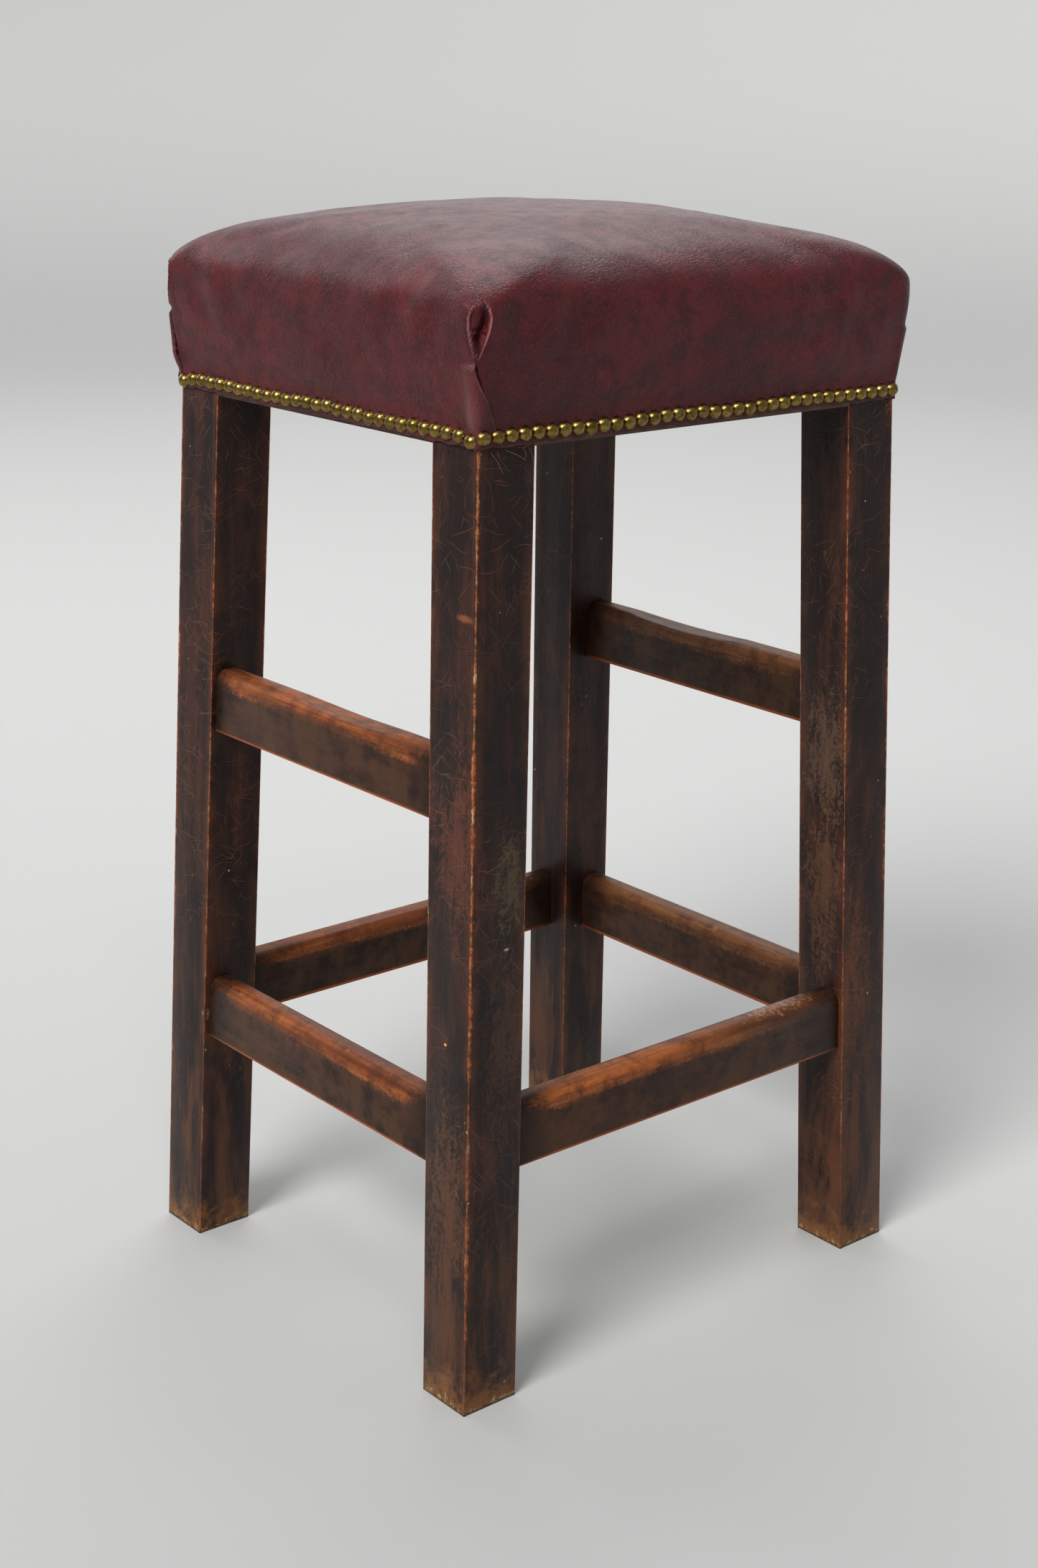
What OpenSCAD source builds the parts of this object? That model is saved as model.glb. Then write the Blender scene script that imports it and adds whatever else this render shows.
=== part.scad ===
// Bar stool: four splayed square legs, a low rail on every side, a high rail on each end,
// and a stuffed leather seat close-nailed round the lower edge of its frame.
// Origin: on the floor, midway between the four feet. +Z is up, the footrest rail is at -Y.
// Sides are numbered 0 right (+X), 1 rear (+Y), 2 left (-X), 3 front (-Y).
// Corner number k is the one between side k and the next side.

/* [Frame] */
// Width across the legs at the underside of the seat frame
frame_w = 334; // [310:2:360]
// Depth across the legs at the underside of the seat frame
frame_d = 296; // [280:2:320]
// Height of the seat frame's underside above the floor
hem_z = 580; // [520:5:640]
// Side of the square legs
leg_t = 40; // [38:1:44]
// Outward lean of the legs along X, in degrees
lean_x = 1.9; // [1:0.1:3]
// Outward lean of the legs along Y, in degrees
lean_y = 1.8; // [1:0.1:3]

/* [Rails] */
// Thickness of the low and high rails
rail_t = 20; // [18:1:22]
// Height of the low and high rails
rail_h = 41; // [36:1:46]
// Set-back of the rails from the legs' outer faces
rail_inset = 3.5; // [2:0.5:6]
// Radius of the rails' rounded top edges
rail_round = 8; // [3:0.5:8.5]
// Height of the low rails' underside above the floor
low_rail_z = 149; // [120:1:200]
// Height of the high rails' underside above the floor
high_rail_z = 363; // [300:1:420]
// Depth of the hollow that feet have worn in the high rails
wear_depth = 3; // [1:0.5:4]
// Height of the seat rails hidden under the leather
seat_rail_h = 55; // [50:1:60]
// Thickness of the seat rails
seat_rail_t = 22; // [20:1:24]

/* [Joinery] */
// Length of the tenons inside the legs
tenon_len = 20; // [14:1:21]
// Thickness of the tenons
tenon_t = 10; // [8:1:10]
// Width of the shoulder above and below a tenon
tenon_shoulder = 6; // [5:0.5:8]
// Reach of the corner blocks along the seat rails, from the frame's outer faces
block_reach = 75; // [70:1:85]
// Height of the corner blocks
block_h = 32; // [25:1:36]
// Length of the corner block screws
screw_len = 35; // [30:1:38]
// Shank diameter of the corner block screws
screw_d = 4; // [3.5:0.5:4]

/* [Seat] */
// Thickness of the leather
leather_t = 1.6; // [1.2:0.1:2]
// Thickness of the wadding over the stuffing
wadding_t = 4; // [3:0.5:6]
// Distance that the seat's sides swell past the frame
bulge = 8.5; // [7:0.5:11]
// Height of the seat's widest level above the frame's underside
widest_h = 75; // [72:0.5:82]
// Height of the crown above the widest level
crown_h = 42; // [38:0.5:48]
// Corner radius of the seat at its widest level
corner_r = 14; // [12:1:22]
// Share of the crown that falls away towards the corners
corner_fall = 0.2; // [0:0.05:0.5]
// Power that sets how flat the crown is
crown_power = 2.8; // [2.2:0.1:3.2]

/* [Webbing] */
// Width of the webbing straps
strap_w = 48; // [44:1:50]
// Thickness of the webbing straps
strap_t = 1.6; // [1.2:0.1:2]
// Spacing of the straps that run front to back
strap_pitch_x = 92; // [84:1:94]
// Spacing of the straps that run side to side
strap_pitch_y = 80; // [70:1:82]
// Length of the doubled end of a strap
strap_fold = 20; // [16:1:20]
// Thickness of the hessian
hessian_t = 0.8; // [0.6:0.1:1.2]

/* [Nails] */
// Diameter of the brass nail heads
nail_d = 9.2; // [8:0.1:9.4]
// Height of the domed nail heads
nail_dome = 3.6; // [2.5:0.1:4]
// Number of nails along the front, and along the rear
nails_long = 35; // [33:1:35]
// Number of nails along each end
nails_end = 29; // [27:1:29]
// Height of the nail row above the frame's underside
nail_rise = 7.5; // [7:0.5:9]
// Largest straying of a nail from the row, up or down
nail_stray = 1.1; // [0:0.1:1.2]
// Diameter of the nail shanks
shank_d = 1.5; // [1.2:0.1:1.6]
// Length of the nail shanks
shank_len = 13; // [11:0.5:14]

/* [Hidden] */

$fn = 48;

RIGHT = 0;
REAR = 1;
LEFT = 2;
FRONT = 3;
SIDES = [RIGHT, REAR, LEFT, FRONT];

// Clearance between the layers of the seat, and round nails and screws
gap = 0.1;
// Longer than the stool in every direction
span = 600;

frame_top = hem_z + seat_rail_h;
strap_top = frame_top + 2 * strap_t + gap;
tack_head_t = 0.8;
tack_head_d = 6;
tack_d = 1.4;
tack_len = 11;
hessian_z = strap_top + tack_head_t + gap;
pad_z = hessian_z + hessian_t + tack_head_t + gap;

// Half the frame's width and depth at height z
function half_x(z) = frame_w / 2 + (hem_z - z) * tan(lean_x);
function half_y(z) = frame_d / 2 + (hem_z - z) * tan(lean_y);
// The same seen from one side: distance out to its face, and half the length of that face
function across(side, z) = side % 2 == 0 ? half_x(z) : half_y(z);
function along(side, z) = across(side + 1, z);
function lean(side) = side % 2 == 0 ? lean_x : lean_y;

// Turns a piece drawn on the right-hand side round to another side
module on_side(side) {
    rotate([0, 0, 90 * side]) children();
}

// ---- Leaning slabs that the frame's pieces are cut from ----

// Slab parallel to the side's leaning outer face, between two insets from it
module face_slab(side, near, far, z0, z1) {
    translate([0, span / 2, 0]) rotate([90, 0, 0]) linear_extrude(span)
        polygon([
            [across(side, z0) - far, z0],
            [across(side, z0) - near, z0],
            [across(side, z1) - near, z1],
            [across(side, z1) - far, z1],
        ]);
}

// Slab parallel to the neighbouring face, at the far end of this side
module end_slab(side, near, far, z0, z1) {
    translate([-span / 2, 0, 0]) rotate([90, 0, 90]) linear_extrude(span)
        polygon([
            [along(side, z0) - far, z0],
            [along(side, z0) - near, z0],
            [along(side, z1) - near, z1],
            [along(side, z1) - far, z1],
        ]);
}

// Everything between the two ends of a side, short of both end faces by the inset
module between_ends(side, inset, z0, z1) {
    translate([-span / 2, 0, 0]) rotate([90, 0, 90]) linear_extrude(span)
        polygon([
            [inset - along(side, z0), z0],
            [along(side, z0) - inset, z0],
            [along(side, z1) - inset, z1],
            [inset - along(side, z1), z1],
        ]);
}

// ---- Rails ----

// A 2D section drawn with its outer bottom corner at the origin becomes a bar along the side
module leaning_bar(side, inset, z) {
    translate([across(side, z) - inset, 0, z]) rotate([0, -lean(side), 0])
        translate([0, span / 2, 0]) rotate([90, 0, 0]) linear_extrude(span) children();
}

module rounded_section(t, h, r) {
    translate([-t, 0]) square([t, h - r]);
    translate([r - t, 0]) square([t - 2 * r, h]);
    translate([r - t, h - r]) circle(r);
    translate([-r, h - r]) circle(r);
}

module tenon_section(t, h) {
    translate([-(t + tenon_t) / 2, tenon_shoulder]) square([tenon_t, h - 2 * tenon_shoulder]);
}

// Tenons at both ends of a rail; the extra length makes the mortise deeper than its tenon
module tenons(side, inset, t, h, z, extra = 0) {
    intersection() {
        leaning_bar(side, inset, z) tenon_section(t, h);
        between_ends(side, leg_t - tenon_len - extra, z, z + h);
    }
}

// Rail between two legs, with shoulders that follow the legs' lean
module low_rail(side) {
    color("saddlebrown") on_side(side) union() {
        intersection() {
            leaning_bar(side, rail_inset, low_rail_z) rounded_section(rail_t, rail_h, rail_round);
            between_ends(side, leg_t, low_rail_z - rail_h, low_rail_z + 2 * rail_h);
        }
        tenons(side, rail_inset, rail_t, rail_h, low_rail_z);
    }
}

// Radius of the worn hollow, from its depth and its length
wear_len = 130;
wear_r = (wear_len * wear_len / 4 + wear_depth * wear_depth) / (2 * wear_depth);
wear_shift = 20;

module high_rail(side) {
    color("saddlebrown") on_side(side) difference() {
        union() {
            intersection() {
                leaning_bar(side, rail_inset, high_rail_z) rounded_section(rail_t, rail_h, rail_round);
                between_ends(side, leg_t, high_rail_z - rail_h, high_rail_z + 2 * rail_h);
            }
            tenons(side, rail_inset, rail_t, rail_h, high_rail_z);
        }
        translate([0, wear_shift, high_rail_z + rail_h - wear_depth + wear_r]) rotate([0, 90, 0])
            cylinder(h = span, r = wear_r, $fn = 360);
    }
}

// How far along a seat rail the nails still enter it, its tenons included
function nail_reach(side) = along(side, hem_z) - leg_t + tenon_len + nail_d / 2;

// Square-edged rail of the seat frame, flush with the legs' outer faces
module seat_rail(side) {
    color("peru") on_side(side) difference() {
        union() {
            intersection() {
                face_slab(side, 0, seat_rail_t, hem_z, frame_top);
                between_ends(side, leg_t, hem_z, frame_top);
            }
            seat_tenons(side);
        }
        nail_bores(side, -nail_reach(side), nail_reach(side));
        tack_bores(side);
    }
}

module seat_tenons(side, extra = 0) {
    intersection() {
        face_slab(side, (seat_rail_t - tenon_t) / 2, (seat_rail_t + tenon_t) / 2,
            hem_z + tenon_shoulder, frame_top - 2 * tenon_shoulder);
        between_ends(side, leg_t - tenon_len - extra, hem_z, frame_top);
    }
}

// ---- Legs ----

mortise_slack = 1;

module post(corner) {
    intersection() {
        face_slab(corner, 0, leg_t, 0, frame_top);
        end_slab(corner, 0, leg_t, 0, frame_top);
    }
}

module leg(corner) {
    next = (corner + 1) % 4;
    color("saddlebrown") difference() {
        on_side(corner) post(corner);
        for (side = [corner, next]) on_side(side) {
            tenons(side, rail_inset, rail_t, rail_h, low_rail_z, mortise_slack);
            if (side % 2 == 0) tenons(side, rail_inset, rail_t, rail_h, high_rail_z, mortise_slack);
            seat_tenons(side, mortise_slack);
        }
        on_side(corner) nail_bores(corner, along(corner, hem_z) - leg_t - nail_d, span);
        on_side(next) nail_bores(next, -span, leg_t + nail_d - along(next, hem_z));
        on_side(corner) screw_bore(corner);
    }
}

// ---- Corner blocks ----

block_z = hem_z + 12;
// Sum of x and y on a block's diagonal face
function block_face(corner) =
    across(corner, block_z) + along(corner, block_z) - seat_rail_t - block_reach;

module corner_block(corner) {
    color("burlywood") on_side(corner) difference() {
        intersection() {
            face_slab(corner, seat_rail_t, block_reach, block_z, block_z + block_h);
            end_slab(corner, seat_rail_t, block_reach, block_z, block_z + block_h);
            rotate([0, 0, 45]) translate([block_face(corner) / sqrt(2), -span / 2, 0])
                cube([span, span, span * 2]);
        }
        post(corner);
        screw_bore(corner);
    }
}

// Axis of a block's screw: level, square to the diagonal face, into the leg's inner edge
module screw_place(corner) {
    edge_offset = across(corner, block_z) - along(corner, block_z);
    translate([(block_face(corner) + edge_offset) / 2, (block_face(corner) - edge_offset) / 2,
        block_z + block_h / 2])
        rotate([0, 0, 45]) rotate([0, 90, 0]) children();
}

screw_head_h = 2.6;
screw_point = 8;

// Countersunk wood screw, its head flush at z = 0 and its point up
module screw_shape(grow) {
    cylinder(h = screw_head_h, r1 = screw_d + grow, r2 = screw_d / 2 + grow);
    cylinder(h = screw_len - screw_point, r = screw_d / 2 + grow);
    translate([0, 0, screw_len - screw_point])
        cylinder(h = screw_point + grow, r1 = screw_d / 2 + grow, r2 = screw_d / 8 + grow);
}

module screw_bore(corner) {
    screw_place(corner) screw_shape(gap);
}

module corner_block_screws() {
    color("silver") for (corner = SIDES) on_side(corner) screw_place(corner) screw_shape(0);
}

// ---- Webbing, hessian and their tacks ----

strap_inset = 6;
strap_ramp = 8;
STRAPS = [-1, 0, 1];

// Half the length of the straps drawn on a side, and the spacing of the ones they cross
function strap_half(side) = along(side, frame_top) - strap_inset;
function cross_pitch(side) = side % 2 == 0 ? strap_pitch_y : strap_pitch_x;
function own_pitch(side) = cross_pitch(side + 1);
// A strap lies over or under the one it crosses
function over(side, strap, crossed) = abs(strap + crossed + side) % 2;

// Side view of a strap: flat on the rails with doubled ends, over and under the cross straps
module strap_outline(side, strap) {
    half = strap_half(side);
    step = strap_t + gap;
    lower = [
        [-half, 0],
        for (crossed = STRAPS, edge = [-1, 1])
            [crossed * cross_pitch(side) + edge * (strap_w / 2 + strap_ramp / 4),
                over(side, strap, crossed) * step],
        [half, 0],
    ];
    upper = [
        [half, 2 * strap_t],
        [half - strap_fold, 2 * strap_t],
        [half - strap_fold, strap_t],
        for (crossed = [1, 0, -1], edge = [1, -1])
            [crossed * cross_pitch(side) + edge * (strap_w / 2 + strap_ramp / 4),
                over(side, strap, crossed) * step + strap_t],
        [strap_fold - half, strap_t],
        [strap_fold - half, 2 * strap_t],
        [-half, 2 * strap_t],
    ];
    polygon(concat(lower, upper));
}

module strap(side, strap) {
    color("tan") on_side(side) difference() {
        translate([strap * own_pitch(side) - strap_w / 2, 0, frame_top])
            rotate([90, 0, 90]) linear_extrude(strap_w) strap_outline(side, strap);
        for (end = [-1, 1]) {
            strap_tack_places(side, strap, end) tack_bore();
            hessian_tack_places(side, strap, end) tack_bore();
        }
    }
}

// Three tacks hold each strap end, and two more hold the hessian on top of it
module strap_tack_places(side, strap, end) {
    for (u = [-16, 0, 16])
        translate([strap * own_pitch(side) + u, end * (strap_half(side) - 11), strap_top - gap])
            children();
}

module hessian_tack_places(side, strap, end) {
    for (u = [-8, 8])
        translate([strap * own_pitch(side) + u, end * (strap_half(side) - 5), hessian_z + hessian_t])
            children();
}

module tack_bore() {
    translate([0, 0, -tack_len - gap]) cylinder(h = 2 * tack_len, d = tack_d + 2 * gap);
}

// Cut tack, the underside of its head at z = 0
module tack() {
    cylinder(h = tack_head_t, r1 = tack_head_d / 2, r2 = tack_head_d / 3);
    translate([0, 0, -tack_len]) cylinder(h = tack_len, r1 = tack_d / 4, r2 = tack_d / 2);
}

// The bores in one seat rail for all the straps that end on it
module tack_bores(side) {
    ring = (side + 1) % 4;
    rotate([0, 0, 90]) for (strap = STRAPS) {
        strap_tack_places(ring, strap, -1) tack_bore();
        hessian_tack_places(ring, strap, -1) tack_bore();
    }
}

module webbing_tacks() {
    color("dimgray") for (side = [RIGHT, REAR], strap = STRAPS, end = [-1, 1])
        on_side(side) strap_tack_places(side, strap, end) tack();
}

module hessian_tacks() {
    color("dimgray") for (side = [RIGHT, REAR], strap = STRAPS, end = [-1, 1])
        on_side(side) hessian_tack_places(side, strap, end) tack();
}

module hessian() {
    inset = 3;
    color("wheat") difference() {
        translate([inset - half_x(frame_top), inset - half_y(frame_top), hessian_z])
            cube([2 * (half_x(frame_top) - inset), 2 * (half_y(frame_top) - inset), hessian_t]);
        for (side = [RIGHT, REAR], strap = STRAPS, end = [-1, 1])
            on_side(side) hessian_tack_places(side, strap, end) tack_bore();
    }
}

// ---- Upholstery: nested surfaces lofted from rounded-rectangle rings ----

corner_steps = 5;
side_steps = 6;
flank_steps = 4;
dome_steps = 8;
band_z = hem_z + 13;
leather_z = hem_z + 0.5;
wadding_z = hem_z + 27;
widest_z = hem_z + widest_h;
hem_r = leather_t + 3 * gap;
// The rings of the crown grow rounder towards the summit by this power of their size
ring_power = 3;

function mix(a, b, t) = a + (b - a) * t;

// Point i of the arc in quadrant q of a rounded rectangle
function arc_point(hx, hy, r, q, i) = [
    (q == 0 || q == 3 ? 1 : -1) * (hx - r) + r * cos(90 * (q + i / corner_steps)),
    (q < 2 ? 1 : -1) * (hy - r) + r * sin(90 * (q + i / corner_steps)),
];

function outline(hx, hy, r) = [
    for (q = [0:3]) each concat(
        [for (i = [0:corner_steps]) arc_point(hx, hy, r, q, i)],
        [for (j = [1:side_steps - 1])
            mix(arc_point(hx, hy, r, q, corner_steps), arc_point(hx, hy, r, (q + 1) % 4, 0), j / side_steps)]
    ),
];

function ring_at(hx, hy, r, z) = [for (p = outline(hx, hy, r)) [p[0], p[1], z]];

// Rise of the crown, as a share of its height, on the ring that is s times the widest one;
// u and v are the point's own shares of the widest half-width and half-depth
function crown(u, v, s) =
    sqrt(1 - pow(s, crown_power))
    * (1 - corner_fall + corner_fall * sqrt(1 - pow(min(u * v, 1), crown_power / 2)));

// Swollen side of the seat at height z, and the same brought in by the depth below the leather
function swell(z) = sin(90 * (z - band_z) / (widest_z - band_z));
function flank_half(frame_half, half_w, z, depth) =
    (z <= band_z ? frame_half + leather_t + gap
        : mix(frame_half + leather_t + gap, half_w / 2 + bulge, swell(z))) - depth;
function flank_r(z, depth) =
    max((z <= band_z ? hem_r : mix(hem_r, corner_r, (z - band_z) / (widest_z - band_z))) - depth, gap);
function flank_ring(z, depth) = ring_at(
    flank_half(half_x(z), frame_w, z, depth), flank_half(half_y(z), frame_d, z, depth), flank_r(z, depth), z);

// Ring that lies against the frame's own outer faces
function frame_ring(z) = ring_at(half_x(z) + gap, half_y(z) + gap, gap, z);

function dome_ring(s, depth) =
    let (
        hx = frame_w / 2 + bulge - depth,
        hy = frame_d / 2 + bulge - depth,
        r = mix(hy, corner_r - depth, pow(s, ring_power)) * s
    )
    [for (p = outline(hx * s, hy * s, r))
        [p[0], p[1], widest_z + (crown_h - depth) * crown(abs(p[0]) / hx, abs(p[1]) / hy, s)]];

function dome_rings(depth) = [for (i = [0:dome_steps - 1]) dome_ring(cos(90 * i / dome_steps), depth)];
function flank_rings(z0, depth) = [
    for (i = [0:flank_steps - 1])
        flank_ring(mix(z0, widest_z, i / flank_steps), depth),
];
function summit(depth) = [0, 0, widest_z + crown_h - depth];
function reversed(list) = [for (i = [len(list) - 1:-1:0]) list[i]];

// Closed solid through a list of rings, with a point at each end
module loft(first, rings, last) {
    n = len(rings[0]);
    top = n * len(rings);
    polyhedron(
        points = concat([for (ring = rings) each ring], [first, last]),
        faces = concat(
            [for (i = [0:n - 1]) [top, i, (i + 1) % n]],
            [for (j = [0:len(rings) - 2], i = [0:n - 1])
                [j * n + i, (j + 1) * n + i, (j + 1) * n + (i + 1) % n]],
            [for (j = [0:len(rings) - 2], i = [0:n - 1])
                [j * n + i, (j + 1) * n + (i + 1) % n, j * n + (i + 1) % n]],
            [for (i = [0:n - 1]) [top - n + i, top + 1, top - n + (i + 1) % n]]
        )
    );
}

module stuffing_pad() {
    depth = leather_t + wadding_t + 2 * gap;
    color("sienna")
        loft([0, 0, pad_z], concat([flank_ring(pad_z, depth)], dome_rings(depth)), summit(depth));
}

// Wadding: over the stuffing, and down the outside of the frame to a feathered edge
module wadding() {
    outer = leather_t + gap;
    inner = leather_t + wadding_t + gap;
    color("ivory") loft(
        summit(inner),
        concat(
            reversed(dome_rings(inner)),
            [flank_ring(pad_z, inner), frame_ring(pad_z), frame_ring(frame_top), frame_ring(wadding_z)],
            flank_rings(wadding_z, outer),
            dome_rings(outer)
        ),
        summit(outer)
    );
}

// Leather: pressed flat on the frame along the nail row, swelling out above it
module leather_cover() {
    color([0.32, 0.1, 0.13]) difference() {
        loft(
            summit(leather_t),
            concat(
                reversed(dome_rings(leather_t)),
                reversed(flank_rings(band_z, leather_t)),
                [flank_ring(leather_z, leather_t), flank_ring(leather_z, 0)],
                flank_rings(band_z, 0),
                dome_rings(0)
            ),
            summit(0)
        );
        for (side = SIDES) on_side(side) nail_bores(side, -span, span);
    }
}

// ---- Brass nails ----

nail_z = hem_z + nail_rise;
// The end rows dip at the corners, so that their shanks pass under the long rows' shanks
corner_dip = 2.2;

function nail_count(side) = side % 2 == 0 ? nails_end : nails_long;
function row_half(side) = along(side, nail_z) - (side % 2 == 0 ? 4.5 : 2.4);
function nail_along(side, i) = mix(-row_half(side), row_half(side), i / (nail_count(side) - 1));
function nail_up(side, i) =
    let (middle = sin(180 * i / (nail_count(side) - 1)))
    nail_stray * middle * (0.4 * sin(137 * i + 90 * side) + 0.6 * sin(31 * i))
    - (side % 2 == 0 ? corner_dip * (1 - min(1, middle * 8)) : 0);

// Puts children on the frame's leaning face at nail i, with +Z pointing out of the face
module nail_place(side, i) {
    z = nail_z + nail_up(side, i);
    translate([across(side, z), nail_along(side, i), z]) rotate([0, 90 - lean(side), 0])
        translate([0, 0, leather_t + gap]) children();
}

module nail() {
    dome_r = (nail_d * nail_d / 4 + nail_dome * nail_dome) / (2 * nail_dome);
    intersection() {
        translate([0, 0, nail_dome - dome_r]) sphere(dome_r);
        cylinder(h = nail_dome, d = nail_d);
    }
    translate([0, 0, -shank_len]) cylinder(h = shank_len, r1 = shank_d / 4, r2 = shank_d / 2);
}

module nail_row(side) {
    color("darkgoldenrod") on_side(side)
        for (i = [0:nail_count(side) - 1]) nail_place(side, i) nail();
}

// Bores for the nails of a side that stand between two places along it
module nail_bores(side, from, to) {
    for (i = [0:nail_count(side) - 1])
        if (nail_along(side, i) >= from && nail_along(side, i) <= to)
            nail_place(side, i) translate([0, 0, -shank_len - gap])
                cylinder(h = shank_len + nail_dome, d = shank_d + 2 * gap);
}

leg(LEFT);  // leg_front_left
leg(FRONT);  // leg_front_right
leg(REAR);  // leg_rear_left
leg(RIGHT);  // leg_rear_right
low_rail(FRONT);  // footrest_rail_front
low_rail(REAR);  // low_rail_rear
low_rail(LEFT);  // low_rail_left
low_rail(RIGHT);  // low_rail_right
high_rail(LEFT);  // high_rail_left
high_rail(RIGHT);  // high_rail_right
seat_rail(FRONT);  // seat_rail_front
seat_rail(REAR);  // seat_rail_rear
seat_rail(LEFT);  // seat_rail_left
seat_rail(RIGHT);  // seat_rail_right
corner_block(LEFT);  // corner_block_front_left
corner_block(FRONT);  // corner_block_front_right
corner_block(REAR);  // corner_block_rear_left
corner_block(RIGHT);  // corner_block_rear_right
corner_block_screws();
strap(RIGHT, -1);  // strap_long_left
strap(RIGHT, 0);  // strap_long_middle
strap(RIGHT, 1);  // strap_long_right
strap(REAR, -1);  // strap_cross_front
strap(REAR, 0);  // strap_cross_middle
strap(REAR, 1);  // strap_cross_rear
webbing_tacks();
hessian();
hessian_tacks();
stuffing_pad();
wadding();
leather_cover();
nail_row(FRONT);  // nails_front
nail_row(REAR);  // nails_rear
nail_row(LEFT);  // nails_left
nail_row(RIGHT);  // nails_right
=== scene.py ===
import math

import bpy
import numpy as np
from mathutils import Matrix, Vector
from mathutils.kdtree import KDTree


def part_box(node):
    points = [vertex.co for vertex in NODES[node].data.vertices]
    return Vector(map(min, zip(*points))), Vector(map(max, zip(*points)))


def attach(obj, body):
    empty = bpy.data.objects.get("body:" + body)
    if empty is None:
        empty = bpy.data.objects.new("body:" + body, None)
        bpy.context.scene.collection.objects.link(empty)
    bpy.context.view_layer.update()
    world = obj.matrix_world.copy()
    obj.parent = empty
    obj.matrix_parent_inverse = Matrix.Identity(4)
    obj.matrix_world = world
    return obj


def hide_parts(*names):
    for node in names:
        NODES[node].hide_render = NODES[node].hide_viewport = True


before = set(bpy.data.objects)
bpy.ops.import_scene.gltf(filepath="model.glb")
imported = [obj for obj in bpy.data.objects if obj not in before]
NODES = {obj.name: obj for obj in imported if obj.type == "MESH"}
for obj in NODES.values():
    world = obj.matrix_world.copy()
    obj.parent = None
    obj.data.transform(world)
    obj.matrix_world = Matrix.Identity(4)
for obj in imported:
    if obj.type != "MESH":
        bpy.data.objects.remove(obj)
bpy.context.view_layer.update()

BODY = "root"
MM = 0.001


# ---- sizes in millimetres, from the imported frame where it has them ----

def box_mm(node):
    lo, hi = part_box(node)
    return np.array(lo) / MM, np.array(hi) / MM


COVER_LO, COVER_HI = box_mm("leather_cover")
RAIL_LO, RAIL_HI = box_mm("seat_rail_right")
FRONT_LO = box_mm("seat_rail_front")[0]
FOOT_LO, FOOT_HI = box_mm("leg_front_right")
HEM_Z = RAIL_LO[2]
FRAME_TOP = RAIL_HI[2]
FRAME_X = RAIL_HI[0]
FRAME_Y = -FRONT_LO[1]
LEAN_X = (FOOT_HI[0] - FRAME_X) / HEM_Z
LEAN_Y = (-FOOT_LO[1] - FRAME_Y) / HEM_Z
LEG_T = 40.0

BAND_Z = HEM_Z + 13
COVER_Z = COVER_LO[2]
WIDEST_Z = HEM_Z + 75
CROWN_H = COVER_HI[2] - WIDEST_Z
WIDEST_X, WIDEST_Y = COVER_HI[0], COVER_HI[1]
HUG = 1.7            # the cover stands this far off the frame's faces
HEM_R = 1.9
CORNER_R = 14.0
CROWN_POWER = 2.8
CORNER_POWER = 4.2
CORNER_FALL = 0.2
RING_POWER = 3
LEATHER_T = 1.6
RAIL_H = 41.0
RAIL_DROP = 24.0     # how far down a rail's sides the stain is rubbed off


def mix(a, b, t):
    return a + (b - a) * t


def smooth(t):
    t = np.clip(t, 0, 1)
    return t * t * (3 - 2 * t)


def unit(vectors):
    return vectors / np.linalg.norm(vectors, axis=-1, keepdims=True)


def half_x(z):
    return FRAME_X + (HEM_Z - z) * LEAN_X


def half_y(z):
    return FRAME_Y + (HEM_Z - z) * LEAN_Y


# ---- meshes ----

def new_object(name, data):
    thing = bpy.data.objects.new(name, data)
    bpy.context.scene.collection.objects.link(thing)
    return thing


def add_piece(name, points_mm, faces, material):
    """New smooth mesh piece from points in millimetres."""
    mesh = bpy.data.meshes.new(name)
    mesh.from_pydata((np.asarray(points_mm) * MM).tolist(), [], faces)
    mesh.update()
    mesh.polygons.foreach_set("use_smooth", [True] * len(mesh.polygons))
    piece = new_object(name, mesh)
    piece.data.materials.append(material)
    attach(piece, BODY)
    return piece


def add_attribute(piece, name, values):
    layer = piece.data.attributes.new(name, "FLOAT", "POINT")
    layer.data.foreach_set("value", np.asarray(values, np.float32).ravel())


def ripple(points, wavelength, seed, waves=14):
    """Smooth random field in about -1..1, made of plane waves near one wavelength."""
    rng = np.random.default_rng(seed)
    directions = unit(rng.normal(size=(waves, 3)))
    lengths = wavelength * rng.uniform(0.7, 1.5, waves)
    phases = rng.uniform(0, 2 * math.pi, waves)
    total = np.zeros(points.shape[:-1])
    for direction, length, phase in zip(directions, lengths, phases):
        total += np.sin(points @ direction * (2 * math.pi / length) + phase)
    return total / math.sqrt(waves)


# ---- shader building ----

def rgb(r, g, b):
    """Linear colour from sRGB values in 0..255."""
    def linear(c):
        c /= 255
        return c / 12.92 if c <= 0.04045 else ((c + 0.055) / 1.055) ** 2.4
    return (linear(r), linear(g), linear(b), 1.0)


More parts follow.
